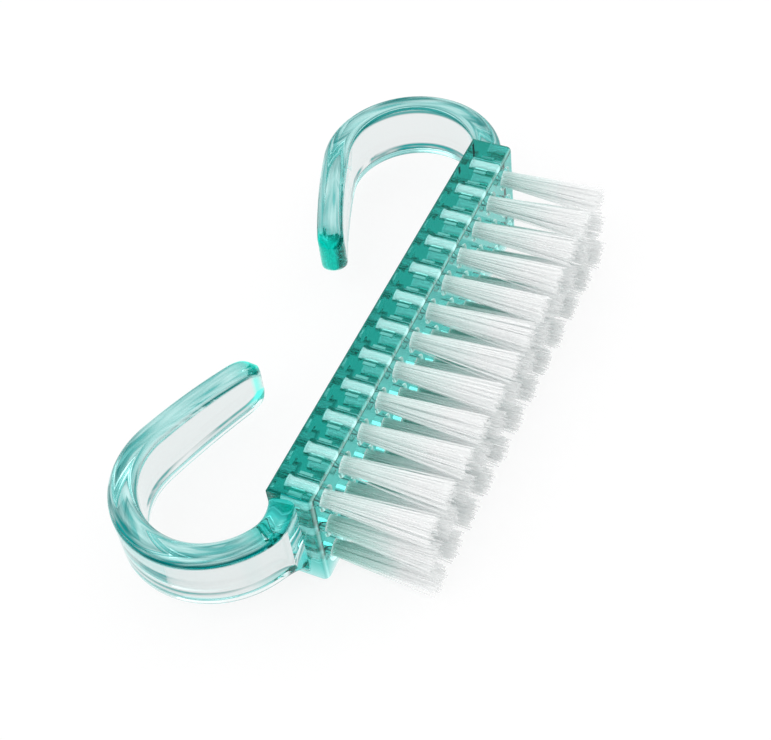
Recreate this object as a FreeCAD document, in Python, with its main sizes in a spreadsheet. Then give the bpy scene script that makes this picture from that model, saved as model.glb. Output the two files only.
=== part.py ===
import FreeCAD, Part
import os
import Sketcher
from FreeCAD import Placement, Rotation, Vector

# Nail brush lying on its side: bar along X, bristles towards -Y, finger hooks towards +Y, Z up.
# The origin is the middle of the bar's underside. Lengths are in millimetres, angles in degrees.

BAR_SIZES = {
    "bar_length": 48.4,
    "bar_thickness": 4.5,
    "bar_width": 12.8,
    "bar_corner_radius": 0.6,
    "bar_edge_radius": 0.35,
}
HOOK_SIZES = {
    # The arc's centre lies this far inboard of the bar's end
    "hook_inset": 1.2,
    # Radius of the middle of the strip, and how deep its inner wall enters the bar's back face
    "hook_radius": 8.3,
    "root_bite": 0.07,
    "strip_thickness": 2.8,
    "strip_height": 6.9,
    "strip_bevel": 0.55,
    # The strip flares in height where it leaves the bar
    "root_height": 12.0,
    "root_flare_length": 2.7,
    # The arc goes on past a half turn, then the arm bends on gently towards the bar
    "arm_angle": 17.3,
    "arm_length": 13.1,
    "arm_bend_radius": 75.0,
    "arm_drop": 0.55,
    "tip_corner_radius": 2.8,
    "tip_reach": 0.3,
}
TUFT_SIZES = {
    "hole_count": 12,
    "row_count": 3,
    # From the bar's end and long side to the middle of the nearest holes
    "hole_end_margin": 2.42,
    "hole_side_margin": 2.44,
    "hole_diameter": 2.0,
    "hole_depth": 3.6,
    "tuft_clearance": 0.03,
    "tuft_length": 10.5,
    "tuft_tip_diameter": 3.3,
    # The filaments gather in lobes, with grooves this share of the bundle's radius between them
    "tuft_lobe_count": 10,
    "tuft_groove_share": 0.27,
}
ANCHOR_SIZES = {
    "anchor_bite": 0.3,
    "anchor_height": 1.3,
    "anchor_thickness": 0.3,
    # Depth of the folded filaments between an anchor and the bottom of its hole
    "fold_depth": 0.6,
}
CUT_SIZES = {
    "cut_overrun": 2.0,
}
ROW_LETTERS = "abc"

# Sizes worked out from the driving dimensions, written as expressions of the sheet
BAR_END = "Sizes.bar_length / 2"
BACK_FACE = "Sizes.bar_thickness / 2"
OUTER_RADIUS = "(Sizes.hook_radius + Sizes.strip_thickness / 2)"
INNER_RADIUS = "(Sizes.hook_radius - Sizes.strip_thickness / 2)"
HOOK_X = "(Sizes.bar_length / 2 - Sizes.hook_inset)"
HOOK_Y = f"(Sizes.bar_thickness / 2 + {INNER_RADIUS} - Sizes.root_bite)"
ARC_END = "(90 + Sizes.arm_angle)"
ARM_SWEEP = "((Sizes.arm_length - Sizes.strip_thickness / 2) / Sizes.arm_bend_radius * 180 / pi)"
ARM_END = f"({ARC_END} + {ARM_SWEEP})"
ARM_OUTER_RADIUS = "(Sizes.arm_bend_radius + Sizes.strip_thickness / 2)"
ARM_INNER_RADIUS = "(Sizes.arm_bend_radius - Sizes.strip_thickness / 2)"
BEND_X = f"({HOOK_X} - (Sizes.arm_bend_radius - Sizes.hook_radius) * cos({ARC_END}))"
BEND_Y = f"({HOOK_Y} - (Sizes.arm_bend_radius - Sizes.hook_radius) * sin({ARC_END}))"
TIP_X = f"({BEND_X} + Sizes.arm_bend_radius * cos({ARM_END}))"
TIP_Y = f"({BEND_Y} + Sizes.arm_bend_radius * sin({ARM_END}))"
TIP_END_X = f"({TIP_X} - Sizes.strip_thickness / 2 - Sizes.tip_reach)"
TAPER_RUN = f"({HOOK_X} - {TIP_END_X})"
TAPER_RADIUS = f"(({TAPER_RUN} ^ 2 + Sizes.arm_drop ^ 2) / (2 * Sizes.arm_drop))"
STRIP_HALF = "(Sizes.strip_height / 2)"
ROOT_HALF = "(Sizes.root_height / 2)"
FLARE_RISE = f"({ROOT_HALF} - {STRIP_HALF})"
FLARE_RADIUS = f"((Sizes.root_flare_length ^ 2 + {FLARE_RISE} ^ 2) / (2 * {FLARE_RISE}))"
FLARE_END_X = f"({BAR_END} + Sizes.root_flare_length)"
BEYOND_HOOK_X = f"({HOOK_X} + {OUTER_RADIUS} + Sizes.cut_overrun)"
FIRST_HOLE_X = "(Sizes.hole_end_margin - Sizes.bar_length / 2)"
FIRST_ROW_Z = "Sizes.hole_side_margin"
HOLE_PITCH = "((Sizes.bar_length - 2 * Sizes.hole_end_margin) / (Sizes.hole_count - 1))"
ROW_PITCH = "((Sizes.bar_width - 2 * Sizes.hole_side_margin) / (Sizes.row_count - 1))"
HOLE_MOUTH_Y = "(-Sizes.bar_thickness / 2)"
HOLE_BOTTOM_Y = "(Sizes.hole_depth - Sizes.bar_thickness / 2)"
ANCHOR_LENGTH = "(Sizes.hole_diameter + 2 * Sizes.anchor_bite)"
ANCHOR_Y = f"({HOLE_BOTTOM_Y} - Sizes.fold_depth - Sizes.anchor_height)"
TUFT_RADIUS = "(Sizes.hole_diameter / 2 - Sizes.tuft_clearance)"
# How a sketch numbers the points of a line or arc, its own first axis and its origin
START, END, CENTRE = range(1, 4)
X_AXIS = -START
ORIGIN_POINT = (X_AXIS, START)

doc = FreeCAD.newDocument("nail_brush")
sheet = doc.addObject("Spreadsheet::Sheet", "Sizes")


def fill_sheet():
    """Puts every driving dimension in the sheet under its own name."""
    row = 0
    for group in (BAR_SIZES, HOOK_SIZES, TUFT_SIZES, ANCHOR_SIZES, CUT_SIZES):
        for name, number in group.items():
            row += 1
            sheet.set(f"A{row}", name)
            sheet.set(f"B{row}", str(number))
            sheet.setAlias(f"B{row}", name)
    doc.recompute()


def value(expression):
    """The present number of an expression of the sheet."""
    return float(sheet.evalExpression(expression))


def bind(thing, **expressions):
    """Binds properties to expressions; two underscores in a name stand for a dot."""
    for name, expression in expressions.items():
        thing.setExpression(name.replace("__", "."), expression)


def sketch_on(body, name, role, offset="0"):
    """A sketch on one of the body's own origin planes, moved along the plane's normal."""
    sketch = body.newObject("Sketcher::SketchObject", name)
    plane = next(item for item in body.Origin.OriginFeatures if item.Role == role)
    sketch.AttachmentSupport = [(plane, "")]
    sketch.MapMode = "FlatFace"
    bind(sketch, AttachmentOffset__Base__z=offset)
    return sketch


def add_line(sketch, start, end, helper=False):
    return sketch.addGeometry(Part.LineSegment(Vector(*start, 0), Vector(*end, 0)), helper)


def add_arc(sketch, centre, radius, first, last):
    """A counter-clockwise arc between two angles in degrees."""
    circle = Part.Circle(Vector(*centre, 0), Vector(0, 0, 1), radius)
    to_radians = FreeCAD.Units.Quantity("1 deg").getValueAs("rad").Value
    return sketch.addGeometry(Part.ArcOfCircle(circle, first * to_radians, last * to_radians))


def rule(sketch, kind, *items):
    """A constraint without a size."""
    sketch.addConstraint(Sketcher.Constraint(kind, *items))


def size(sketch, kind, *items, by):
    """A constraint whose size is bound to an expression of the sheet."""
    unit = ""
    number = value(by)
    if kind == "Angle":
        unit = " * 1 deg"
        number = FreeCAD.Units.Quantity(f"{number} deg").getValueAs("rad").Value
    index = sketch.addConstraint(Sketcher.Constraint(kind, *items, number))
    sketch.setExpression(f"Constraints[{index}]", f"({by}){unit}")


def chain(sketch, *joints):
    """Joins pairs of end points."""
    for first, first_end, second, second_end in joints:
        rule(sketch, "Coincident", first, first_end, second, second_end)


def add_rectangle(sketch, low, high):
    """Four sides in turn, from the low corner along the sketch's first axis."""
    corners = [low, (high[0], low[1]), high, (low[0], high[1])]
    sides = [add_line(sketch, corners[i - 1], corners[i]) for i in (1, 2, 3, 0)]
    chain(sketch, *[(sides[i - 1], END, sides[i], START) for i in range(4)])
    for side, kind in zip(sides, ("Horizontal", "Vertical") * 2):
        rule(sketch, kind, side)
    return sides


def sharp_edges(shape, skip):
    """Names of the edges where two faces meet at an angle, apart from those that skip refuses."""
    least_turn_cosine_share = 0.95
    names = []
    for number, edge in enumerate(shape.Edges, 1):
        faces = shape.ancestorsOfType(edge, Part.Face)
        middle = edge.valueAt((edge.FirstParameter + edge.LastParameter) / 2)
        if len(faces) != 2 or skip(edge):
            continue
        normals = [face.normalAt(*face.Surface.parameter(middle)) for face in faces]
        if abs(normals[0].dot(normals[1])) < least_turn_cosine_share:
            names.append(f"Edge{number}")
    return names


def soften(body, kind, name, base, edges, **measure):
    """A fillet or chamfer on named edges of the body's last feature."""
    feature = body.newObject(f"PartDesign::{kind}", name)
    feature.Base = (base, edges)
    bind(feature, **measure)
    body.Tip = feature
    doc.recompute()
    return feature


def make_bar():
    """The bar: a rectangular block with round front corners and softened long edges."""
    body = doc.addObject("PartDesign::Body", "BarBody")
    sketch = sketch_on(body, "BarPlan", "XY_Plane")
    right, back = value(BAR_END), value(BACK_FACE)
    sides = add_rectangle(sketch, (-right, -back), (right, back))
    rule(sketch, "Symmetric", sides[0], START, sides[2], START, *ORIGIN_POINT)
    size(sketch, "DistanceX", sides[0], START, sides[0], END, by="Sizes.bar_length")
    size(sketch, "DistanceY", sides[1], START, sides[1], END, by="Sizes.bar_thickness")
    pad = body.newObject("PartDesign::Pad", "BarPad")
    pad.Profile = sketch
    bind(pad, Length="Sizes.bar_width")
    doc.recompute()

    def not_front_corner(edge):
        ends = [vertex.Point for vertex in edge.Vertexes]
        return abs(ends[0].z - ends[1].z) < back or ends[0].y > 0

    corners = soften(body, "Fillet", "BarCorners", pad, sharp_edges(pad.Shape, not_front_corner),
                     Radius="Sizes.bar_corner_radius")

    def upright(edge):
        ends = [vertex.Point for vertex in edge.Vertexes]
        return abs(ends[0].z - ends[1].z) > back

    soften(body, "Fillet", "BarEdges", corners, sharp_edges(corners.Shape, upright),
           Radius="Sizes.bar_edge_radius")
    return body


def root_plan(body):
    """Plan of the strip's first quarter turn, from the bar's end face."""
    sketch = sketch_on(body, "RootPlan", "XY_Plane")
    centre = (value(HOOK_X), value(HOOK_Y))
    outer_start = -value(f"acos(Sizes.hook_inset / {OUTER_RADIUS})")
    inner_start = -value(f"acos(Sizes.hook_inset / {INNER_RADIUS})")
    outer = add_arc(sketch, centre, value(OUTER_RADIUS), outer_start, 0)
    inner = add_arc(sketch, centre, value(INNER_RADIUS), inner_start, 0)
    points = [sketch.getPoint(arc, end) for arc, end in
              ((inner, END), (outer, END), (outer, START), (inner, START))]
    joint = add_line(sketch, (points[0].x, points[0].y), (points[1].x, points[1].y))
    root = add_line(sketch, (points[2].x, points[2].y), (points[3].x, points[3].y))
    chain(sketch, (outer, CENTRE, inner, CENTRE), (inner, END, joint, START), (joint, END, outer, END),
          (outer, START, root, START), (root, END, inner, START))
    rule(sketch, "Horizontal", joint)
    rule(sketch, "Horizontal", joint, START, outer, CENTRE)
    rule(sketch, "Vertical", root)
    size(sketch, "DistanceX", *ORIGIN_POINT, root, START, by=BAR_END)
    size(sketch, "DistanceX", *ORIGIN_POINT, outer, CENTRE, by=HOOK_X)
    size(sketch, "DistanceY", *ORIGIN_POINT, outer, CENTRE, by=HOOK_Y)
    size(sketch, "Radius", outer, by=OUTER_RADIUS)
    size(sketch, "Radius", inner, by=INNER_RADIUS)
    return sketch


def flare_profile(body):
    """Side view of what is cut away above the strip, so that its height flares at the bar."""
    sketch = sketch_on(body, "FlareProfile", "XZ_Plane")
    end_x, flat_x, beyond_x = value(BAR_END), value(FLARE_END_X), value(BEYOND_HOOK_X)
    root_z, strip_z = value(ROOT_HALF), value(STRIP_HALF)
    above_z = root_z + value("Sizes.cut_overrun")
    radius = value(FLARE_RADIUS)
    first = 180 + value(f"acos(Sizes.root_flare_length / {FLARE_RADIUS})")
    arc = add_arc(sketch, (flat_x, strip_z + radius), radius, first, 270)
    low = add_line(sketch, (flat_x, strip_z), (beyond_x, strip_z))
    far = add_line(sketch, (beyond_x, strip_z), (beyond_x, above_z))
    high = add_line(sketch, (beyond_x, above_z), (end_x, above_z))
    near = add_line(sketch, (end_x, above_z), (end_x, root_z))
    rule(sketch, "Tangent", arc, END, low, START)
    chain(sketch, (low, END, far, START), (far, END, high, START), (high, END, near, START),
          (near, END, arc, START))
    for line, kind in ((low, "Horizontal"), (far, "Vertical"), (high, "Horizontal"), (near, "Vertical")):
        rule(sketch, kind, line)
    size(sketch, "DistanceX", *ORIGIN_POINT, near, END, by=BAR_END)
    size(sketch, "DistanceX", arc, START, arc, END, by="Sizes.root_flare_length")
    size(sketch, "DistanceX", *ORIGIN_POINT, low, END, by=BEYOND_HOOK_X)
    size(sketch, "DistanceY", *ORIGIN_POINT, arc, START, by=ROOT_HALF)
    size(sketch, "DistanceY", *ORIGIN_POINT, arc, END, by=STRIP_HALF)
    size(sketch, "DistanceY", near, END, near, START, by="Sizes.cut_overrun")
    return sketch


def arm_plan(body):
    """Plan of the rest of the strip: the arc past its half turn, the arm and its round tip."""
    sketch = sketch_on(body, "ArmPlan", "XY_Plane")
    centre = (value(HOOK_X), value(HOOK_Y))
    bend = (value(BEND_X), value(BEND_Y))
    tip_centre = (value(TIP_X), value(TIP_Y))
    arc_end, arm_end = value(ARC_END), value(ARM_END)
    outer = add_arc(sketch, centre, value(OUTER_RADIUS), 0, arc_end)
    arm_outer = add_arc(sketch, bend, value(ARM_OUTER_RADIUS), arc_end, arm_end)
    tip = add_arc(sketch, tip_centre, value("Sizes.strip_thickness / 2"), arm_end, arm_end + 180)
    arm_inner = add_arc(sketch, bend, value(ARM_INNER_RADIUS), arc_end, arm_end)
    inner = add_arc(sketch, centre, value(INNER_RADIUS), 0, arc_end)
    first, last = sketch.getPoint(inner, START), sketch.getPoint(outer, START)
    joint = add_line(sketch, (first.x, first.y), (last.x, last.y))
    turn = sketch.getPoint(arm_outer, START)
    arc_ray = add_line(sketch, bend, (turn.x, turn.y), helper=True)
    tip_ray = add_line(sketch, bend, tip_centre, helper=True)
    chain(sketch, (outer, CENTRE, inner, CENTRE), (arm_outer, CENTRE, arm_inner, CENTRE),
          (inner, START, joint, START), (joint, END, outer, START),
          (arc_ray, START, arm_outer, CENTRE), (arc_ray, END, arm_outer, START),
          (tip_ray, START, arm_outer, CENTRE), (tip_ray, END, tip, CENTRE))
    rule(sketch, "Tangent", outer, END, arm_outer, START)
    rule(sketch, "Tangent", arm_outer, END, tip, START)
    rule(sketch, "Tangent", tip, END, arm_inner, END)
    rule(sketch, "Tangent", arm_inner, START, inner, END)
    rule(sketch, "Horizontal", joint)
    rule(sketch, "Horizontal", joint, START, outer, CENTRE)
    size(sketch, "DistanceX", *ORIGIN_POINT, outer, CENTRE, by=HOOK_X)
    size(sketch, "DistanceY", *ORIGIN_POINT, outer, CENTRE, by=HOOK_Y)
    size(sketch, "Radius", outer, by=OUTER_RADIUS)
    size(sketch, "Radius", inner, by=INNER_RADIUS)
    size(sketch, "Radius", arm_outer, by=ARM_OUTER_RADIUS)
    size(sketch, "Angle", arc_ray, by=ARC_END)
    size(sketch, "Angle", tip_ray, by=ARM_END)
    return sketch


def arm_profile(body):
    """Side view of what is cut away above the arm, which tapers to a rounded end."""
    sketch = sketch_on(body, "ArmProfile", "XZ_Plane", f"-{HOOK_Y}")
    start_x, end_x, strip_z = value(HOOK_X), value(TIP_END_X), value(STRIP_HALF)
    overrun, corner_radius = value("Sizes.cut_overrun"), value("Sizes.tip_corner_radius")
    taper_radius = value(TAPER_RADIUS)
    corner_x = end_x + corner_radius
    joint_turn = value(f"asin(({TAPER_RUN} - Sizes.tip_corner_radius)"
                       f" / ({TAPER_RADIUS} - Sizes.tip_corner_radius))")
    corner_z = strip_z - taper_radius + value(
        f"({TAPER_RADIUS} - Sizes.tip_corner_radius) * cos({joint_turn})")
    taper = add_arc(sketch, (start_x, strip_z - taper_radius), taper_radius, 90, 90 + joint_turn)
    corner = add_arc(sketch, (corner_x, corner_z), corner_radius, 90 + joint_turn, 180)
    low = add_line(sketch, (end_x, corner_z), (end_x - overrun, corner_z))
    far = add_line(sketch, (end_x - overrun, corner_z), (end_x - overrun, strip_z + overrun))
    high = add_line(sketch, (end_x - overrun, strip_z + overrun), (start_x, strip_z + overrun))
    near = add_line(sketch, (start_x, strip_z + overrun), (start_x, strip_z))
    rule(sketch, "Tangent", taper, END, corner, START)
    chain(sketch, (corner, END, low, START), (low, END, far, START), (far, END, high, START),
          (high, END, near, START), (near, END, taper, START))
    for line, kind in ((low, "Horizontal"), (far, "Vertical"), (high, "Horizontal"), (near, "Vertical")):
        rule(sketch, kind, line)
    rule(sketch, "Vertical", taper, CENTRE, taper, START)
    rule(sketch, "Horizontal", corner, CENTRE, corner, END)
    size(sketch, "DistanceX", *ORIGIN_POINT, taper, START, by=HOOK_X)
    size(sketch, "DistanceY", *ORIGIN_POINT, taper, START, by=STRIP_HALF)
    size(sketch, "Radius", taper, by=TAPER_RADIUS)
    size(sketch, "Radius", corner, by="Sizes.tip_corner_radius")
    size(sketch, "DistanceX", *ORIGIN_POINT, corner, END, by=TIP_END_X)
    size(sketch, "DistanceX", low, END, low, START, by="Sizes.cut_overrun")
    size(sketch, "DistanceY", near, END, near, START, by="Sizes.cut_overrun")
    return sketch


def add_pad(body, name, profile, length):
    """A pad that reaches as far above the sketch as below it."""
    pad = body.newObject("PartDesign::Pad", name)
    pad.Profile = profile
    pad.SideType = "Symmetric"
    bind(pad, Length=length)
    body.Tip = pad
    doc.recompute()
    return pad


def add_cut_pair(body, name, profile, side_type):
    """Cuts a profile through the strip, above its middle plane and, mirrored, below it."""
    before = body.Shape.Volume
    pocket = body.newObject("PartDesign::Pocket", name)
    pocket.Profile = profile
    pocket.Type = "ThroughAll"
    pocket.SideType = side_type
    body.Tip = pocket
    doc.recompute()
    mirror = body.newObject("PartDesign::Mirrored", f"{name}Mirror")
    mirror.Originals = [pocket]
    plane = next(item for item in body.Origin.OriginFeatures if item.Role == "XY_Plane")
    mirror.MirrorPlane = (plane, [""])
    body.Tip = mirror
    doc.recompute()
    if not body.Shape.Volume < pocket.Shape.Volume < before:
        raise RuntimeError(f"{name} cuts nothing")


def make_hook():
    """One finger hook about its own middle plane, lifted to the middle of the bar's width."""
    body = doc.addObject("PartDesign::Body", "HookBody")
    add_pad(body, "RootPad", root_plan(body), "Sizes.root_height")
    add_cut_pair(body, "RootFlare", flare_profile(body), "Symmetric")
    add_pad(body, "ArmPad", arm_plan(body), "Sizes.strip_height")
    add_cut_pair(body, "ArmTaper", arm_profile(body), "One side")
    base = body.Tip
    end_x, close_by = value(BAR_END), value("Sizes.root_bite")

    def not_rim(edge):
        points = [vertex.Point for vertex in edge.Vertexes]
        on_root = all(abs(point.x - end_x) < close_by for point in points)
        upright = len(points) == 2 and (points[0] - points[1]).cross(Vector(0, 0, 1)).Length < close_by
        return on_root or upright

    soften(body, "Chamfer", "StripEdges", base, sharp_edges(base.Shape, not_rim),
           Size="Sizes.strip_bevel")
    bind(body, Placement__Base__z="Sizes.bar_width / 2")
    doc.recompute()
    return body


def add_pattern(body, name, pocket, sketch):
    """Repeats a pocket along the rows and across them."""
    pattern = body.newObject("PartDesign::LinearPattern", name)
    pattern.Originals = [pocket]
    pattern.Direction = (sketch, ["H_Axis"])
    pattern.Direction2 = (sketch, ["V_Axis"])
    pattern.Mode = "Spacing"
    pattern.Mode2 = "Spacing"
    bind(pattern, Offset=HOLE_PITCH, Offset2=ROW_PITCH,
         Occurrences="Sizes.hole_count", Occurrences2="Sizes.row_count")
    body.Tip = pattern
    doc.recompute()


def make_handle(bar, hook):
    """The moulding: bar and both hooks in one, with the blind tuft holes and the anchors' tracks."""
    other = doc.addObject("Part::Mirroring", "OtherHook")
    other.Source = hook
    other.Normal = Vector(1, 0, 0)
    blank = doc.addObject("Part::MultiFuse", "HandleBlank")
    blank.Shapes = [bar, hook, other]
    doc.recompute()
    body = doc.addObject("PartDesign::Body", "HandleBody")
    body.BaseFeature = blank
    doc.recompute()

    before = body.Shape.Volume
    holes = sketch_on(body, "HoleCircle", "XZ_Plane", "Sizes.bar_thickness / 2")
    first = Vector(value(FIRST_HOLE_X), value(FIRST_ROW_Z), 0)
    circle = holes.addGeometry(Part.Circle(first, Vector(0, 0, 1), value("Sizes.hole_diameter / 2")))
    size(holes, "Diameter", circle, by="Sizes.hole_diameter")
    size(holes, "DistanceX", circle, CENTRE, *ORIGIN_POINT, by=f"-{FIRST_HOLE_X}")
    size(holes, "DistanceY", *ORIGIN_POINT, circle, CENTRE, by=FIRST_ROW_Z)
    drill = body.newObject("PartDesign::Pocket", "TuftHole")
    drill.Profile = holes
    bind(drill, Length="Sizes.hole_depth")
    body.Tip = drill
    doc.recompute()
    add_pattern(body, "TuftHoles", drill, holes)
    if not body.Shape.Volume < drill.Shape.Volume < before:
        raise RuntimeError("the tuft holes cut nothing")

    before = body.Shape.Volume
    tracks = sketch_on(body, "TrackSlot", "XZ_Plane", "Sizes.bar_thickness / 2")
    half_length, half_thickness = value(ANCHOR_LENGTH) / 2, value("Sizes.anchor_thickness") / 2
    sides = add_rectangle(tracks, (first.x - half_length, first.y - half_thickness),
                          (first.x + half_length, first.y + half_thickness))
    middle = tracks.addGeometry(Part.Point(first), True)
    rule(tracks, "Symmetric", sides[0], START, sides[2], START, middle, START)
    size(tracks, "DistanceX", sides[0], START, sides[0], END, by=ANCHOR_LENGTH)
    size(tracks, "DistanceY", sides[1], START, sides[1], END, by="Sizes.anchor_thickness")
    size(tracks, "DistanceX", middle, START, *ORIGIN_POINT, by=f"-{FIRST_HOLE_X}")
    size(tracks, "DistanceY", *ORIGIN_POINT, middle, START, by=FIRST_ROW_Z)
    slot = body.newObject("PartDesign::Pocket", "AnchorTrack")
    slot.Profile = tracks
    bind(slot, Length="Sizes.hole_depth - Sizes.fold_depth")
    body.Tip = slot
    doc.recompute()
    add_pattern(body, "AnchorTracks", slot, tracks)
    if not body.Shape.Volume < slot.Shape.Volume < before:
        raise RuntimeError("the anchor tracks cut nothing")
    body.Label = "handle_body"
    return body


def hole_place(row, column):
    """Expressions for the middle of one hole across the bar's front face."""
    x = f"{FIRST_HOLE_X} + {column} * {HOLE_PITCH}"
    z = f"{FIRST_ROW_Z} + {row} * {ROW_PITCH}"
    return x, z


def make_anchor(label, x, z):
    """A flat piece of wire across the hole, its ends in the tracks of the hole's wall."""
    anchor = doc.addObject("Part::Box", label)
    bind(anchor, Length=ANCHOR_LENGTH, Width="Sizes.anchor_height", Height="Sizes.anchor_thickness",
         Placement__Base__x=f"{x} - {ANCHOR_LENGTH} / 2", Placement__Base__y=ANCHOR_Y,
         Placement__Base__z=f"{z} - Sizes.anchor_thickness / 2")
    return anchor


def lobed_outline(name, y, radius):
    """Outline of a bundle at one depth: its lobes reach the radius, and grooves lie between them."""
    sketch = doc.addObject("Sketcher::SketchObject", name)
    sketch.Placement = Placement(Vector(), Rotation(Vector(1, 0, 0), 90))
    bind(sketch, Placement__Base__y=y)
    reaches = (radius, f"{radius} * (1 - Sizes.tuft_groove_share)")
    circles = []
    for reach in reaches:
        circle = sketch.addGeometry(Part.Circle(Vector(), Vector(0, 0, 1), value(reach)), True)
        rule(sketch, "Coincident", circle, CENTRE, *ORIGIN_POINT)
        size(sketch, "Radius", circle, by=reach)
        circles.append(circle)
    corner_count = 2 * int(value("Sizes.tuft_lobe_count"))
    corners = []
    for i in range(corner_count):
        turn = f"(360 * {i} / {corner_count})"
        corners.append([value(f"{reaches[i % 2]} * {part}({turn})") for part in ("cos", "sin")])
    sides = [add_line(sketch, corners[i - 1], corners[i]) for i in range(corner_count)]
    chain(sketch, *[(sides[i - 1], END, sides[i], START) for i in range(corner_count)])
    for i, side in enumerate(sides):
        rule(sketch, "PointOnObject", side, END, circles[i % 2])
    for side in sides[1:]:
        rule(sketch, "Equal", sides[0], side)
    rule(sketch, "PointOnObject", sides[0], END, X_AXIS)
    return sketch


def make_tuft():
    """A bundle of filaments: packed in its hole, folded round its anchor, and spread towards its tips."""
    bundle = doc.addObject("Part::Loft", "TuftBundle")
    bundle.Sections = [
        lobed_outline("TuftRoot", HOLE_BOTTOM_Y, TUFT_RADIUS),
        lobed_outline("TuftMouth", HOLE_MOUTH_Y, TUFT_RADIUS),
        lobed_outline("TuftTip", f"{HOLE_MOUTH_Y} - Sizes.tuft_length", "(Sizes.tuft_tip_diameter / 2)"),
    ]
    bundle.Solid = True
    bundle.Ruled = True
    bundle.Linearize = True
    tuft = doc.addObject("Part::Cut", "Tuft")
    tuft.Base = bundle
    tuft.Tool = make_anchor("AnchorWindow", "0", "0")
    doc.recompute()
    return tuft


def make_rows():
    """Every tuft as its own piece, and the anchors of each row as one group."""
    tuft = make_tuft()
    pieces = []
    for row in range(int(value("Sizes.row_count"))):
        letter = ROW_LETTERS[row]
        anchors = []
        for column in range(int(value("Sizes.hole_count"))):
            x, z = hole_place(row, column)
            piece = doc.addObject("App::Link", f"tuft_{letter}{column + 1:02d}")
            piece.LinkedObject = tuft
            bind(piece, Placement__Base__x=x, Placement__Base__z=z)
            pieces.append(piece)
            anchors.append(make_anchor(f"anchor_{letter}{column + 1:02d}", x, z))
        group = doc.addObject("Part::Compound", f"anchors_row_{letter}")
        group.Links = anchors
        pieces.append(group)
    doc.recompute()
    return pieces


def check(pieces):
    """Stops if any object failed or any piece has no sound shape."""
    for thing in doc.Objects:
        if {"Invalid", "Error"} & set(thing.State):
            raise RuntimeError(f"{thing.Name} failed: {thing.State}")
    for piece in pieces:
        shape = Part.getShape(piece)
        if shape.isNull() or not shape.isValid() or not shape.Solids:
            raise RuntimeError(f"{piece.Label} has no sound shape")


def main():
    fill_sheet()
    pieces = [make_handle(make_bar(), make_hook())] + make_rows()
    doc.recompute()
    check(pieces)
    os.makedirs("parts", exist_ok=True)
    for piece in pieces:
        shape = Part.getShape(piece)
        shape.exportStep(os.path.join("parts", f"{piece.Label}.step"))
        print(piece.Label, round(shape.Volume, 3), len(shape.Solids))


main()
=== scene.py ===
import math
import random

import bmesh
import bpy
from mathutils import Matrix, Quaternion, Vector


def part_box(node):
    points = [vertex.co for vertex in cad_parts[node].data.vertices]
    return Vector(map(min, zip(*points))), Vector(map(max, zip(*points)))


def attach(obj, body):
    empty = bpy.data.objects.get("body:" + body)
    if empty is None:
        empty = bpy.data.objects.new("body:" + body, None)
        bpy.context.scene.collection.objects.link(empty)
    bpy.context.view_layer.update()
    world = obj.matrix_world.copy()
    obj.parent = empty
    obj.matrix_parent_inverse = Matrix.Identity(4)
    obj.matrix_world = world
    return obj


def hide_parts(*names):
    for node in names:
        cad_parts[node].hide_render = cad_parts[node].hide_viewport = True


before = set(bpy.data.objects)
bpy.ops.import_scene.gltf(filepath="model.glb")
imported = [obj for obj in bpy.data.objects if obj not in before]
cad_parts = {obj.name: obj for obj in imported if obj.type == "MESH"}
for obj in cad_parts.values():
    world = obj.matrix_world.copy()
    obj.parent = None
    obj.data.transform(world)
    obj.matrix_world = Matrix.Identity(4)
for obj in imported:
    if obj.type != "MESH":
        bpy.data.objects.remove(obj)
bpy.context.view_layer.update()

# Nail brush: one clear moulding with finger hooks, bundles of nylon filaments and their wire anchors.
# Lengths are in metres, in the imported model's frame: bar along X, bristles towards -Y, Z up.

MM = 0.001
ROWS = "abc"
TUFTS_PER_ROW = 12

# The bar
BAR_LENGTH = 48.4 * MM
BAR_THICKNESS = 4.5 * MM
BAR_WIDTH = 12.8 * MM
BAR_CORNER_RADIUS = 0.6 * MM
BAR_EDGE_RADIUS = 0.35 * MM
BAR_ROUNDING_STEPS = 5
BAR_END = BAR_LENGTH / 2
FRONT_Y = -BAR_THICKNESS / 2

# The finger hooks: an arc from the bar's end, a gently bent arm and a round tip
HOOK_INSET = 1.2 * MM
HOOK_RADIUS = 8.3 * MM
ROOT_BITE = 0.07 * MM
STRIP_THICKNESS = 2.8 * MM
STRIP_HEIGHT = 6.9 * MM
STRIP_EDGE_RADIUS = 0.85 * MM
ROOT_HEIGHT = 12.0 * MM
ROOT_FLARE_LENGTH = 2.7 * MM
ARM_ANGLE = math.radians(17.3)
ARM_LENGTH = 13.1 * MM
ARM_BEND_RADIUS = 75.0 * MM
ARM_DROP = 0.55 * MM
TIP_CORNER_RADIUS = 2.8 * MM
TIP_REACH = 0.3 * MM
HOOK_CENTRE = Vector((BAR_END - HOOK_INSET,
                      BAR_THICKNESS / 2 + HOOK_RADIUS - STRIP_THICKNESS / 2 - ROOT_BITE))
ARC_END = math.pi / 2 + ARM_ANGLE
ARM_CENTRE = HOOK_CENTRE - (ARM_BEND_RADIUS - HOOK_RADIUS) * Vector((math.cos(ARC_END), math.sin(ARC_END)))
# The hooks' own skins end just short of the bar's end faces
HOOK_CLEARANCE = 0.02 * MM

# Sections along a hook, closer together at its root, and the most of a section that its roundings take
ARC_STEPS = 72
ARM_STEPS = 32
TIP_STEPS = 12
SECTION_ROUNDING_STEPS = 6
ROOT_CROWDING = 1.15
LAST_SECTION_SHARE = 0.999
FULL_ROUNDING_SHARE = 0.98

# The tuft holes, with rounded mouths
HOLE_RADIUS = 1.0 * MM
HOLE_DEPTH = 3.6 * MM
HOLE_SIDES = 32
MOUTH_RADIUS = 0.3 * MM
MOUTH_STEPS = 4
CUT_OVERRUN = 1.0 * MM

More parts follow.
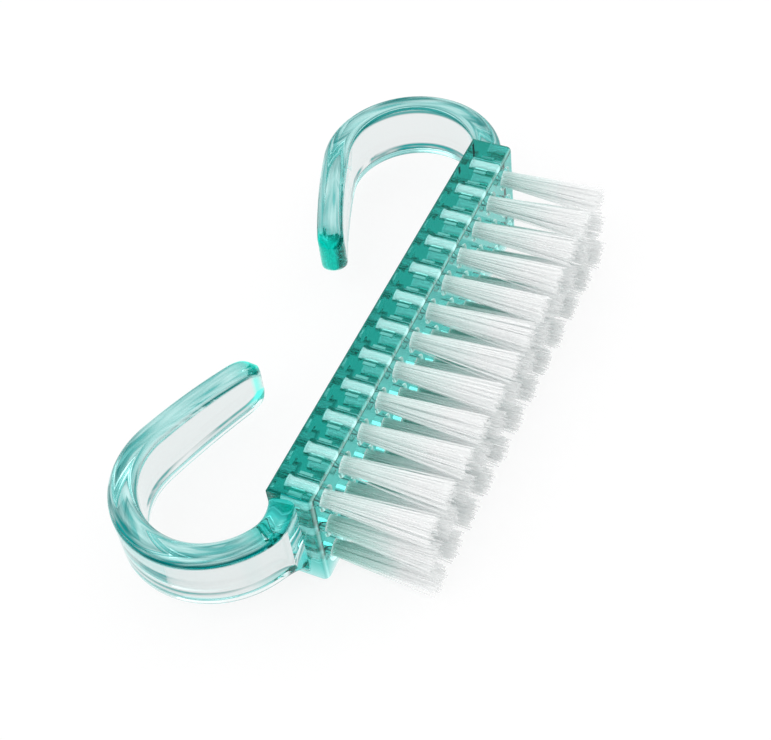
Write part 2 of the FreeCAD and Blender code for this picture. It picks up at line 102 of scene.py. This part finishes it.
# The filaments, gathered in lobes
FILAMENT_RADIUS = 0.085 * MM
FILAMENTS_PER_TUFT = 96
PACKED_RADIUS = 0.88 * MM
TIP_SPREAD_RADIUS = 1.66 * MM
LOBES_PER_TUFT = 10
GROOVE_SHARE = 0.27
FILAMENT_SIDES = 6
FILAMENT_SECTION_SHARES = (0.0, 0.26, 0.42, 0.6, 0.8, 1.0)
TAPER_START_SHARE = 0.8
TAPER_SHARE = 0.25
GOLDEN_ANGLE = math.pi * (3 - math.sqrt(5))
FLOOR_GAP = 0.05 * MM

# How unevenly the filaments lie, in millimetres
TUFT_LEAN = 0.1
TIP_SCATTER = 0.12
END_SCATTER = (-0.1, 0.35)
BOW_SCATTER = 0.05

# Faces that meet at more than these angles keep a crease, and large faces set the shading most
MOULDING_CREASE = math.radians(28)
FILAMENT_CREASE = math.radians(70)
FLAT_FACE_WEIGHT = 100

# The plastic's polish: faint moulding waves, and reflections as teal as the photograph's
PLASTIC_IOR = 1.5
MIRROR_TINT = (0.1, 0.6, 0.58, 1.0)
WAVE_SCALE = 260.0
WAVE_DETAIL = 3.0
WAVE_ROUGHNESS = (0.0, 0.04)
WAVE_STRENGTH = 0.08
WAVE_DEPTH = 0.05 * MM

# Light lost in the bar, tints where light crosses its surface, and painted shade at its ends and edges
BAR_COLOUR = (0.0, 0.76, 0.72, 1.0)
BAR_DENSITY = 330.0
BAR_STREAK_SCALE = 400.0
BAR_STREAK_TINTS = (0.93, 0.99, 0.985, 1.0), (0.99, 1.0, 1.0, 1.0)
# Painted shade: deeper teal at the bar's ends
BAR_END_PAINTED_SHADE = (0.33, 0.82, 0.79, 1.0)
BAR_END_SHADE_FADE = (BAR_END - 2.0 * MM, BAR_END - 0.3 * MM)
# Painted shade along the bar's edges
BAR_EDGE_PAINTED_SHADE = (0.0, 0.3, 0.28, 1.0)
BAR_EDGE_SHADE_FADE = (0.4 * MM, 0.15 * MM)
# Painted highlight on the rims of the hole mouths and the front face
MOUTH_HIGHLIGHT_FACING = (0.98, 0.85)

# Light lost in the hooks, and tints where light crosses their walls, rims and roundings: painted shade,
# deeper on the rims than on the clearer walls, darkest on the roundings, bends, tips and roots
HOOK_COLOUR = (0.0, 0.82, 0.79, 1.0)
HOOK_DENSITY = 60.0
WALL_TINT = (0.99, 0.88, 0.885, 1.0)
RIM_PAINTED_SHADE = (0.62, 0.78, 0.77, 1.0)
RIM_SHADE_FACING = (0.7, 0.97)
# Painted shade along the roundings and outside the bends
PAINTED_EDGE_SHADE = (0.02, 0.2, 0.19, 1.0)
EDGE_SHADE_FACING = (0.2, 0.4), (0.8, 0.6)
PAINTED_BEND_SHADE = (0.0, 0.14, 0.14, 1.0)
BEND_SHADE_FACING = (0.1, 0.4)
BEND_SHADE_BAND = (0.0, 0.5 * MM)
BEND_SHADE_FADE = (HOOK_CENTRE.x - 4.0 * MM, HOOK_CENTRE.x)
# Painted shade: deeper teal at the hooks' tips and roots
PAINTED_END_SHADE = (0.02, 0.6, 0.54, 1.0)
OFF_WALL_FACING = (0.85, 0.6)
TIP_FADE = (10.6 * MM, 8.9 * MM)
TIP_FACING = (0.3, 0.6)
ROOT_FADE_X = (BAR_END + 4.0 * MM, BAR_END + 1.0 * MM)
ROOT_FADE_Y = (6.0 * MM, 4.0 * MM)

# Painted highlight and shade streaks along the hooks' strips
STREAK_SCALE_ACROSS = 1800.0
STREAK_SCALE_ALONG = 130.0
PAINTED_HIGHLIGHT_STREAK = (0.97, 1.0, 1.0, 1.0)
HIGHLIGHT_STREAK_RANGE = (0.52, 0.64)
PAINTED_SHADE_STREAK = (0.1, 0.45, 0.44, 1.0)
SHADE_STREAK_RANGE = (0.5, 0.36)
EDGE_SHADE_STREAK_RANGE = (0.62, 0.42)

# Painted glow at the hooks' tips and painted highlights at the hole mouths, standing in for light led along
# the plastic
PAINTED_TIP_GLOW = (0.0, 0.36, 0.29, 1.0)
PAINTED_MOUTH_HIGHLIGHT = (0.36, 0.44, 0.43, 1.0)
NO_GLOW = (0.0, 0.0, 0.0, 1.0)

# Milky nylon, with painted teal light from the plastic where it leaves the bar, most in the lower rows, and
# a painted glow
NYLON_COLOUR = (0.97, 0.975, 0.975, 1.0)
NYLON_IOR = 1.53
NYLON_STREAK_SCALE = 900.0
NYLON_ROUGHNESS = (0.15, 0.4)
TOP_ROOT_PAINTED_TEAL = (0.82, 0.95, 0.93, 1.0)
LOW_ROOT_PAINTED_TEAL = (0.5, 0.86, 0.8, 1.0)
TOP_ROW_FADE = (BAR_WIDTH * 0.5, BAR_WIDTH * 0.75)
PAINTED_TEAL_LENGTH = 7.0 * MM
FOLD_FADE = 0.4 * MM
FILAMENT_ALPHA = 0.33
# Painted glow in the holes, and fainter on the spread filaments
PAINTED_FOLD_GLOW = (0.17, 0.165, 0.165, 1.0)
PAINTED_SPREAD_GLOW = (0.012, 0.012, 0.0125, 1.0)

# Drawn wire
WIRE_COLOURS = (0.8, 0.8, 0.78, 1.0), (0.92, 0.92, 0.9, 1.0)
WIRE_ROUGHNESS = (0.2, 0.45)
SCRATCH_SCALE = (300.0, 4000.0, 4000.0)
SCRATCH_NOISE_SCALE = 5.0

# Light is followed this many times through the clear plastic
LIGHT_BOUNCES = 32

# The studio's light by height, and its lamps: place, size and power in watts
HORIZON_LIGHT = (0.04, 0.05, 0.05, 1.0)
ZENITH_LIGHT = (1.12, 1.12, 1.12, 1.0)
SKY_RISE = (0.08, 0.5)
LAMPS = {
    "key": ((-0.25, 0.1, 0.4), (0.3, 0.3), 0.5),
    "fill": ((0.3, -0.25, 0.3), (0.25, 0.25), 0.2),
}

# White paper, which fades to dark surroundings at this distance, as seen through the plastic
FLOOR_HALF_SIDE = 2.0
PAPER_COLOUR = (0.9, 0.9, 0.9, 1.0)
PAPER_ROUGHNESS = 0.9
PAPER_EDGE = (0.06, 0.14)
PAPER_GLOW_SHARE = 0.85

# The photograph's camera
CAMERA_LOCATION = Vector((-87.643, -49.611, 121.949)) * MM
CAMERA_FORWARD = Vector((0.5555, 0.331242, -0.762691))
CAMERA_ROLL = math.radians(-8.515)
CAMERA_LENS = 71.913
SENSOR_WIDTH = 36.0
CLIP_START = 1.0 * MM


def new_object(name, mesh):
    piece = bpy.data.objects.new(name, mesh)
    bpy.context.collection.objects.link(piece)
    return piece


def mesh_of_skins(name, skins):
    """One mesh of closed skins, each over rings of points and capped at both ends."""
    bm = bmesh.new()
    for rings in skins:
        loops = [[bm.verts.new(point) for point in ring] for ring in rings]
        for low, high in zip(loops, loops[1:]):
            for i in range(len(low)):
                j = (i + 1) % len(low)
                bm.faces.new((low[i], low[j], high[j], high[i]))
        bm.faces.new(loops[0][::-1])
        bm.faces.new(loops[-1])
    bmesh.ops.recalc_face_normals(bm, faces=bm.faces)
    mesh = bpy.data.meshes.new(name)
    bm.to_mesh(mesh)
    bm.free()
    return mesh


def smooth(mesh, crease):
    for polygon in mesh.polygons:
        polygon.use_smooth = True
    mesh.set_sharp_from_angle(angle=crease)


def circle(x, y, z, radius, sides):
    """Points of a circle about an axis along Y."""
    turns = [2 * math.pi * i / sides for i in range(sides)]
    return [(x + radius * math.cos(turn), y, z + radius * math.sin(turn)) for turn in turns]


def rounded_section(half_width, half_height, radius, steps=SECTION_ROUNDING_STEPS):
    """Points of a rounded rectangle, corner by corner."""
    radius = min(radius, half_width * FULL_ROUNDING_SHARE, half_height * FULL_ROUNDING_SHARE)
    points = []
    for quarter, (side, rise) in enumerate(((1, 1), (-1, 1), (-1, -1), (1, -1))):
        for step in range(steps + 1):
            turn = math.pi / 2 * (quarter + step / steps)
            points.append((side * (half_width - radius) + radius * math.cos(turn),
                           rise * (half_height - radius) + radius * math.sin(turn)))
    return points


def arm_point(turn):
    return ARM_CENTRE + ARM_BEND_RADIUS * Vector((math.cos(turn), math.sin(turn)))


def hook_stations():
    """Centre, outward direction, thickness and height of the strip, from inside the bar to the tip."""
    arm_turn = (ARM_LENGTH - STRIP_THICKNESS / 2) / ARM_BEND_RADIUS
    rise = (ROOT_HEIGHT - STRIP_HEIGHT) / 2
    flare_radius = (ROOT_FLARE_LENGTH ** 2 + rise ** 2) / (2 * rise)
    taper_run = HOOK_CENTRE.x - arm_point(ARC_END + arm_turn).x
    tip_end = HOOK_CENTRE.x - taper_run - STRIP_THICKNESS / 2 - TIP_REACH
    stations = []

    def add(point, turn, thickness, height):
        outward = Vector((math.cos(turn), math.sin(turn)))
        over_corner = tip_end + TIP_CORNER_RADIUS - point.x
        if over_corner > 0:
            height -= 2 * (TIP_CORNER_RADIUS - math.sqrt(TIP_CORNER_RADIUS ** 2 - over_corner ** 2))
        stations.append((point, outward, thickness, height))

    for step in range(ARC_STEPS + 1):
        turn = -math.pi / 2 + (ARC_END + math.pi / 2) * (step / ARC_STEPS) ** ROOT_CROWDING
        point = HOOK_CENTRE + HOOK_RADIUS * Vector((math.cos(turn), math.sin(turn)))
        beyond = point.x - BAR_END
        height = STRIP_HEIGHT
        if turn < 0 and beyond <= 0:
            height = ROOT_HEIGHT
        elif turn < 0 and beyond < ROOT_FLARE_LENGTH:
            left = ROOT_FLARE_LENGTH - beyond
            height += 2 * (flare_radius - math.sqrt(flare_radius ** 2 - left ** 2))
        add(point, turn, STRIP_THICKNESS, height)
    for step in range(1, ARM_STEPS + 1):
        turn = ARC_END + arm_turn * step / ARM_STEPS
        point = arm_point(turn)
        run = (HOOK_CENTRE.x - point.x) / taper_run
        add(point, turn, STRIP_THICKNESS, STRIP_HEIGHT - 2 * ARM_DROP * run ** 2)
    ahead = Vector((-math.sin(turn), math.cos(turn)))
    tip_height = STRIP_HEIGHT - 2 * ARM_DROP
    for step in range(1, TIP_STEPS + 1):
        out = math.sin(math.pi / 2 * step / TIP_STEPS) * LAST_SECTION_SHARE
        thickness = STRIP_THICKNESS * math.sqrt(1 - out ** 2)
        add(point + ahead * out * STRIP_THICKNESS / 2, turn, thickness, tip_height)
    return stations


def make_hook(side):
    rings = []
    for point, outward, thickness, height in hook_stations():
        ring = []
        for across, up in rounded_section(thickness / 2, height / 2, STRIP_EDGE_RADIUS):
            place = point + outward * across
            ring.append((side * place.x, place.y, BAR_WIDTH / 2 + up))
        rings.append(ring)
    return new_object(f"hook_{side}", mesh_of_skins("hook", [rings]))


def make_bar(end_clearance=0.0):
    steps = BAR_ROUNDING_STEPS
    turns = [math.pi / 2 * step / steps for step in range(steps + 1)]
    profile = [(BAR_EDGE_RADIUS * (1 - math.sin(turn)), BAR_EDGE_RADIUS * (1 - math.cos(turn)))
               for turn in turns]
    profile += [(inset, BAR_WIDTH - z) for inset, z in reversed(profile)]
    rings = []
    for inset, z in profile:
        half_x, half_y = BAR_END + end_clearance - inset, BAR_THICKNESS / 2 - inset
        radius = BAR_CORNER_RADIUS - inset
        ring = [(half_x, half_y, z), (-half_x, half_y, z)]
        for side, first in ((-1, math.pi), (1, 1.5 * math.pi)):
            for turn in turns:
                ring.append((side * (half_x - radius) + radius * math.cos(first + turn),
                             radius - half_y + radius * math.sin(first + turn), z))
        rings.append(ring)
    return new_object("bar", mesh_of_skins("bar", [rings]))


def tuft_place(node):
    """Middle of a tuft's hole on the bar's front face."""
    low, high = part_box(node)
    return Vector(((low[0] + high[0]) / 2, FRONT_Y, (low[2] + high[2]) / 2))


def make_hole_cutters(nodes):
    skins = []
    for node in nodes:
        mouth = tuft_place(node)
        profile = [(mouth.y - CUT_OVERRUN, HOLE_RADIUS + MOUTH_RADIUS)]
        for step in range(MOUTH_STEPS + 1):
            depth = math.sin(math.pi / 2 * step / MOUTH_STEPS)
            profile.append((mouth.y + MOUTH_RADIUS * depth, HOLE_RADIUS + MOUTH_RADIUS * (1 - depth) ** 2))
        profile.append((mouth.y + HOLE_DEPTH, HOLE_RADIUS))
        skins.append([circle(mouth.x, y, mouth.z, radius, HOLE_SIDES) for y, radius in profile])
    return new_object("holes", mesh_of_skins("holes", skins))


def cut_away(piece, tool):
    """The piece's mesh with the tool cut out of it."""
    cut = piece.modifiers.new("cut", "BOOLEAN")
    cut.object = tool
    cut.operation = "DIFFERENCE"
    cut.solver = "EXACT"
    graph = bpy.context.evaluated_depsgraph_get()
    mesh = bpy.data.meshes.new_from_object(piece.evaluated_get(graph))
    piece.modifiers.remove(cut)
    return mesh


def finish_moulding(name, mesh, material):
    """A smooth, closed piece of the clear moulding."""
    mesh.name = name
    smooth(mesh, MOULDING_CREASE)
    mesh.materials.clear()
    mesh.materials.append(material)
    piece = new_object(name, mesh)
    weighted = piece.modifiers.new("flat faces stay flat", "WEIGHTED_NORMAL")
    weighted.keep_sharp = True
    weighted.weight = FLAT_FACE_WEIGHT
    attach(piece, "root")
    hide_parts("handle_body")


def make_handle(nodes):
    """The bar with its blind holes, and the hooks from its end faces on."""
    bar, holes = make_bar(), make_hole_cutters(nodes)
    finish_moulding("bar_moulding", cut_away(bar, holes), bar_material())
    clear_teal = hook_material()
    cutter = make_bar(HOOK_CLEARANCE)
    for side, name in ((-1, "hook_moulding_near"), (1, "hook_moulding_far")):
        hook = make_hook(side)
        finish_moulding(name, cut_away(hook, cutter), clear_teal)
        bpy.data.objects.remove(hook)
    for tool in (bar, holes, cutter):
        bpy.data.objects.remove(tool)


def make_filaments(node, seed, material):
    """One tuft: filaments from the bottom of the hole, spreading from the hole's mouth to their tips."""
    rng = random.Random(seed)
    low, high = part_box(node)
    mouth = tuft_place(node)
    bottom_y, tip_y = high[1], low[1]
    lean = Vector((rng.uniform(-TUFT_LEAN, TUFT_LEAN), rng.uniform(-TUFT_LEAN, TUFT_LEAN))) * MM
    skins = []
    for number in range(FILAMENTS_PER_TUFT):
        turn = number * GOLDEN_ANGLE
        direction = Vector((math.cos(turn), math.sin(turn)))
        on_lobe = abs(2 * (turn * LOBES_PER_TUFT / (2 * math.pi) % 1.0) - 1)
        reach = math.sqrt((number + 0.5) / FILAMENTS_PER_TUFT) * (1 - GROOVE_SHARE * (1 - on_lobe))
        root = PACKED_RADIUS * reach * direction
        tip = TIP_SPREAD_RADIUS * reach * direction + lean
        tip += Vector((rng.gauss(0, TIP_SCATTER), rng.gauss(0, TIP_SCATTER))) * MM
        end_y = tip_y + rng.uniform(*END_SCATTER) * MM
        bow = Vector((rng.gauss(0, BOW_SCATTER), rng.gauss(0, BOW_SCATTER))) * MM
        rings = []
        for along in FILAMENT_SECTION_SHARES:
            y = bottom_y - FLOOR_GAP + (end_y - bottom_y) * along
            free = max(0.0, (mouth.y - y) / (mouth.y - end_y))
            middle = root.lerp(tip, free) + bow * math.sin(math.pi * free)
            taper = TAPER_SHARE * max(0.0, along - TAPER_START_SHARE) / (1 - TAPER_START_SHARE)
            rings.append(circle(mouth.x + middle.x, y, mouth.z + middle.y,
                                FILAMENT_RADIUS * (1 - taper), FILAMENT_SIDES))
        skins.append(rings)
    name = node.replace("tuft", "filaments")
    mesh = mesh_of_skins(name, skins)
    smooth(mesh, FILAMENT_CREASE)
    mesh.materials.append(material)
    piece = new_object(name, mesh)
    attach(piece, "root")
    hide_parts(node)


class Recipe:
    """A node tree, with short ways to add nodes to it. A value is a number or another node's output."""

    def __init__(self, tree):
        self.nodes, self.links = tree.nodes, tree.links
        self.place = self.nodes.new("ShaderNodeTexCoord").outputs

    def join(self, value, socket):
        if isinstance(value, (float, tuple)):
            socket.default_value = value
        else:
            self.links.new(value, socket)

    def mix(self, factor, first, second):
        """A mix of two colours."""
        node = self.nodes.new("ShaderNodeMix")
        node.data_type = "RGBA"
        for name, value in (("Factor", factor), ("A", first), ("B", second)):
            self.join(value, node.inputs[name])
        return node.outputs["Result"]

    def fade(self, value, source, target=(0.0, 1.0)):
        """A value mapped from one range to another, and kept within it."""
        node = self.nodes.new("ShaderNodeMapRange")
        ends = dict(zip(("From Min", "From Max", "To Min", "To Max"), source + target))
        for name, end in ends.items():
            node.inputs[name].default_value = end
        self.join(value, node.inputs["Value"])
        return node.outputs["Result"]

    def math(self, operation, *values):
        node = self.nodes.new("ShaderNodeMath")
        node.operation = operation
        for value, socket in zip(values, node.inputs):
            self.join(value, socket)
        return node.outputs[0]

    def both(self, first, second):
        return self.math("MULTIPLY", first, second)

    def either(self, first, second):
        return self.math("MAXIMUM", first, second)

    def size(self, value):
        return self.math("ABSOLUTE", value)

    def parts(self, vector):
        """The X, Y and Z of a vector."""
        node = self.nodes.new("ShaderNodeSeparateXYZ")
        self.join(vector, node.inputs["Vector"])
        return tuple(node.outputs)

    def vector(self, *values):
        node = self.nodes.new("ShaderNodeCombineXYZ")
        for value, socket in zip(values, node.inputs):
            self.join(value, socket)
        return node.outputs["Vector"]

    def length(self, vector):
        node = self.nodes.new("ShaderNodeVectorMath")
        node.operation = "LENGTH"
        self.join(vector, node.inputs[0])
        return node.outputs["Value"]

    def noise(self, vector, scale, detail=2.0):
        node = self.nodes.new("ShaderNodeTexNoise")
        node.inputs["Scale"].default_value = scale
        node.inputs["Detail"].default_value = detail
        self.join(vector, node.inputs["Vector"])
        return node.outputs["Fac"]


class SurfaceRecipe(Recipe):
    """A material's node tree with its shader."""

    def __init__(self, name):
        self.material = bpy.data.materials.new(name)
        self.material.use_nodes = True
        super().__init__(self.material.node_tree)
        self.shader = self.nodes["Principled BSDF"]
        self.output = self.nodes["Material Output"].inputs

    def set(self, name, value):
        self.join(value, self.shader.inputs[name])

    def set_painted_glow(self, colour):
        """A faint painted glow, which is seen but doesn't light other pieces by itself."""
        self.set("Emission Color", colour)
        self.set("Emission Strength", 1.0)
        self.material.cycles.emission_sampling = "NONE"


def clear_plastic(name, absorbed, density):
    """Polished clear plastic with faint moulding waves, which absorbs light along its way."""
    recipe = SurfaceRecipe(name)
    recipe.set("Transmission Weight", 1.0)
    recipe.set("IOR", PLASTIC_IOR)
    recipe.set("Specular Tint", MIRROR_TINT)
    waves = recipe.noise(recipe.place["Object"], WAVE_SCALE, WAVE_DETAIL)
    recipe.set("Roughness", recipe.fade(waves, (0.0, 1.0), WAVE_ROUGHNESS))
    bump = recipe.nodes.new("ShaderNodeBump")
    bump.inputs["Strength"].default_value = WAVE_STRENGTH
    bump.inputs["Distance"].default_value = WAVE_DEPTH
    recipe.join(waves, bump.inputs["Height"])
    recipe.set("Normal", bump.outputs["Normal"])
    absorb = recipe.nodes.new("ShaderNodeVolumeAbsorption")
    absorb.inputs["Color"].default_value = absorbed
    absorb.inputs["Density"].default_value = density
    recipe.join(absorb.outputs["Volume"], recipe.output["Volume"])
    return recipe


def bar_material():
    recipe = clear_plastic("deep_teal_plastic", BAR_COLOUR, BAR_DENSITY)
    x, y, z = recipe.parts(recipe.place["Object"])
    from_middle = recipe.size(x)
    streaks = recipe.noise(recipe.place["Object"], BAR_STREAK_SCALE)
    tint = recipe.mix(streaks, *BAR_STREAK_TINTS)
    # Painted shade: deeper teal towards the bar's ends
    tint = recipe.mix(recipe.fade(from_middle, BAR_END_SHADE_FADE), tint, BAR_END_PAINTED_SHADE)

    # Painted shade: dark edges, where two sides of the bar meet
    def near(value, limit):
        return recipe.fade(value, tuple(limit - distance for distance in BAR_EDGE_SHADE_FADE))

    by_end = near(from_middle, BAR_END)
    by_face = near(recipe.size(y), BAR_THICKNESS / 2)
    by_back = near(y, BAR_THICKNESS / 2)
    by_side = near(recipe.size(recipe.math("SUBTRACT", z, BAR_WIDTH / 2)), BAR_WIDTH / 2)
    edge_shade = recipe.either(recipe.both(by_end, by_face), recipe.both(by_side, recipe.either(by_end, by_back)))
    recipe.set("Base Color", recipe.mix(edge_shade, tint, BAR_EDGE_PAINTED_SHADE))

    # Painted highlights: bright, glowing rims of the hole mouths and of the front face
    to_front = recipe.size(recipe.parts(recipe.place["Normal"])[1])
    rim = recipe.both(recipe.fade(to_front, MOUTH_HIGHLIGHT_FACING), recipe.fade(y, (FRONT_Y + MOUTH_RADIUS, FRONT_Y)))
    recipe.set_painted_glow(recipe.mix(rim, NO_GLOW, PAINTED_MOUTH_HIGHLIGHT))
    return recipe.material


def hook_material():
    recipe = clear_plastic("pale_teal_plastic", HOOK_COLOUR, HOOK_DENSITY)
    to_end, to_wall, upright = [recipe.size(part) for part in recipe.parts(recipe.place["Normal"])]
    x, depth, _ = recipe.parts(recipe.place["Object"])
    sideways = recipe.size(x)

    # Where a point lies across the strip, on the arc or on the arm
    def from_circle(centre, radius):
        offset = recipe.vector(recipe.math("SUBTRACT", sideways, centre.x),
                               recipe.math("SUBTRACT", depth, centre.y))
        return recipe.math("SUBTRACT", recipe.length(offset), radius)

    from_arc = from_circle(HOOK_CENTRE, HOOK_RADIUS)
    from_arm = from_circle(ARM_CENTRE, ARM_BEND_RADIUS)
    on_arc = recipe.math("LESS_THAN", recipe.size(from_arc), recipe.size(from_arm))
    step = recipe.math("SUBTRACT", from_arc, from_arm)
    across = recipe.math("ADD", from_arm, recipe.both(on_arc, step))

    # Painted highlight and shade streaks along the strip
    flow = recipe.vector(recipe.both(across, STREAK_SCALE_ACROSS), recipe.both(sideways, STREAK_SCALE_ALONG),
                         recipe.both(depth, STREAK_SCALE_ALONG))
    streaks = recipe.noise(flow, 1.0)
    rim = recipe.mix(recipe.fade(streaks, SHADE_STREAK_RANGE), RIM_PAINTED_SHADE, PAINTED_SHADE_STREAK)
    rim = recipe.mix(recipe.fade(streaks, HIGHLIGHT_STREAK_RANGE), rim, PAINTED_HIGHLIGHT_STREAK)
    # Painted shade: rims deeper teal than the clearer walls, by which way the surface faces
    tint = recipe.mix(recipe.fade(upright, RIM_SHADE_FACING), WALL_TINT, rim)

    # Painted shade: dark roundings, darkest outside the bends
    shade_streak = recipe.fade(streaks, EDGE_SHADE_STREAK_RANGE)
    shaded_rounding = recipe.both(*[recipe.fade(upright, facing) for facing in EDGE_SHADE_FACING])
    tint = recipe.mix(recipe.both(shaded_rounding, shade_streak), tint, PAINTED_EDGE_SHADE)
    outside = recipe.both(recipe.fade(upright, BEND_SHADE_FACING), recipe.fade(across, BEND_SHADE_BAND))
    bend_shade = recipe.both(outside, recipe.fade(sideways, BEND_SHADE_FADE))
    tint = recipe.mix(recipe.both(bend_shade, shade_streak), tint, PAINTED_BEND_SHADE)

    # Painted shade: deep teal tips and roots, but not on the flat walls
    off_wall = recipe.fade(to_wall, OFF_WALL_FACING)
    at_tip = recipe.both(off_wall, recipe.fade(sideways, TIP_FADE))
    near_bar = recipe.both(recipe.fade(sideways, ROOT_FADE_X), recipe.fade(depth, ROOT_FADE_Y))
    tint = recipe.mix(at_tip, tint, PAINTED_END_SHADE)
    tint = recipe.mix(recipe.both(near_bar, off_wall), tint, PAINTED_END_SHADE)
    recipe.set("Base Color", tint)
    # Painted glow at the tips
    tip_glow_mask = recipe.both(at_tip, recipe.fade(to_end, TIP_FACING))
    recipe.set_painted_glow(recipe.mix(tip_glow_mask, NO_GLOW, PAINTED_TIP_GLOW))
    return recipe.material


def filament_material():
    """Drawn nylon: milky, unevenly glossy, with painted teal light from the plastic near the bar and a
    painted glow.
    """
    recipe = SurfaceRecipe("nylon_filament")
    _, y, z = recipe.parts(recipe.place["Object"])
    outside = recipe.fade(y, (FRONT_Y + FOLD_FADE, FRONT_Y))
    beyond = recipe.fade(y, (FRONT_Y, FRONT_Y - PAINTED_TEAL_LENGTH))
    # Painted teal light on the roots, more in the lower rows
    root = recipe.mix(recipe.fade(z, TOP_ROW_FADE), LOW_ROOT_PAINTED_TEAL, TOP_ROOT_PAINTED_TEAL)
    tone = recipe.mix(outside, NYLON_COLOUR, root)
    recipe.set("Base Color", recipe.mix(beyond, tone, NYLON_COLOUR))
    # Painted glow in the holes, and fainter beyond the bar
    glow = recipe.mix(outside, PAINTED_FOLD_GLOW, NO_GLOW)
    recipe.set_painted_glow(recipe.mix(beyond, glow, PAINTED_SPREAD_GLOW))
    streaks = recipe.noise(recipe.place["Object"], NYLON_STREAK_SCALE)
    recipe.set("Roughness", recipe.fade(streaks, (0.0, 1.0), NYLON_ROUGHNESS))
    recipe.set("IOR", NYLON_IOR)
    recipe.set("Alpha", FILAMENT_ALPHA)
    return recipe.material


def wire_material():
    """Drawn flat wire with faint lengthwise scratches."""
    recipe = SurfaceRecipe("drawn_wire")
    recipe.set("Metallic", 1.0)
    stretch = recipe.nodes.new("ShaderNodeMapping")
    stretch.inputs["Scale"].default_value = SCRATCH_SCALE
    recipe.join(recipe.place["Object"], stretch.inputs["Vector"])
    scratches = recipe.noise(stretch.outputs["Vector"], SCRATCH_NOISE_SCALE)
    recipe.set("Base Color", recipe.mix(scratches, *WIRE_COLOURS))
    recipe.set("Roughness", recipe.fade(scratches, (0.0, 1.0), WIRE_ROUGHNESS))
    return recipe.material


def floor_material():
    """Paper that is white to the camera, and keeps the object's shadow."""
    recipe = SurfaceRecipe("white_floor")
    recipe.set("Base Color", PAPER_COLOUR)
    recipe.set("Roughness", PAPER_ROUGHNESS)
    recipe.set("Specular IOR Level", 0.0)
    path = recipe.nodes.new("ShaderNodeLightPath").outputs
    paper = recipe.fade(recipe.length(recipe.place["Object"]), PAPER_EDGE, (1.0, 0.0))
    through = recipe.either(path["Is Glossy Ray"], path["Is Transmission Ray"])
    glow = recipe.nodes.new("ShaderNodeEmission")
    recipe.join(recipe.either(path["Is Camera Ray"], recipe.both(through, paper)), glow.inputs["Strength"])
    seen = recipe.either(path["Is Camera Ray"], through)
    surface = recipe.nodes.new("ShaderNodeMixShader")
    recipe.join(recipe.both(seen, PAPER_GLOW_SHARE), surface.inputs["Fac"])
    recipe.join(recipe.shader.outputs["BSDF"], surface.inputs[1])
    recipe.join(glow.outputs["Emission"], surface.inputs[2])
    recipe.join(surface.outputs["Shader"], recipe.output["Surface"])
    return recipe.material


def make_floor():
    bm = bmesh.new()
    bmesh.ops.create_grid(bm, x_segments=1, y_segments=1, size=FLOOR_HALF_SIDE)
    mesh = bpy.data.meshes.new("floor")
    bm.to_mesh(mesh)
    bm.free()
    mesh.materials.append(floor_material())
    new_object("floor", mesh)


def make_world():
    world = bpy.data.worlds.new("studio")
    bpy.context.scene.world = world
    world.use_nodes = True
    recipe = Recipe(world.node_tree)
    height = recipe.parts(recipe.place["Generated"])[2]
    sky = recipe.mix(recipe.fade(height, SKY_RISE), HORIZON_LIGHT, ZENITH_LIGHT)
    recipe.join(sky, recipe.nodes["Background"].inputs["Color"])


def make_lamp(name, place, size, power):
    """An area lamp that shines on the middle of the frame."""
    lamp = bpy.data.lights.new(name, "AREA")
    lamp.shape = "RECTANGLE"
    lamp.size, lamp.size_y = size
    lamp.energy = power
    holder = new_object(name, lamp)
    holder.location = place
    holder.rotation_mode = "QUATERNION"
    holder.rotation_quaternion = (-Vector(place)).to_track_quat("-Z", "Y")


def make_camera():
    camera = bpy.data.cameras.new("camera")
    camera.lens = CAMERA_LENS
    camera.sensor_width = SENSOR_WIDTH
    camera.clip_start = CLIP_START
    holder = new_object("camera", camera)
    holder.location = CAMERA_LOCATION
    holder.rotation_mode = "QUATERNION"
    roll = Quaternion((0.0, 0.0, 1.0), CAMERA_ROLL)
    holder.rotation_quaternion = CAMERA_FORWARD.to_track_quat("-Z", "Y") @ roll
    bpy.context.scene.camera = holder


def main():
    nodes = [f"tuft_{row}{column + 1:02d}" for row in ROWS for column in range(TUFTS_PER_ROW)]
    make_handle(nodes)
    nylon = filament_material()
    for seed, node in enumerate(nodes):
        make_filaments(node, seed, nylon)
    wire = wire_material()
    for row in ROWS:
        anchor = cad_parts[f"anchors_row_{row}"]
        anchor.data.materials.clear()
        anchor.data.materials.append(wire)
    make_floor()
    make_world()
    for name, (place, size, power) in LAMPS.items():
        make_lamp(name, place, size, power)
    make_camera()
    scene = bpy.context.scene
    scene.view_settings.view_transform = "Standard"
    scene.cycles.max_bounces = LIGHT_BOUNCES
    scene.cycles.transmission_bounces = LIGHT_BOUNCES
    scene.cycles.glossy_bounces = LIGHT_BOUNCES
    scene.cycles.diffuse_bounces = LIGHT_BOUNCES
    scene.cycles.transparent_max_bounces = LIGHT_BOUNCES


main()
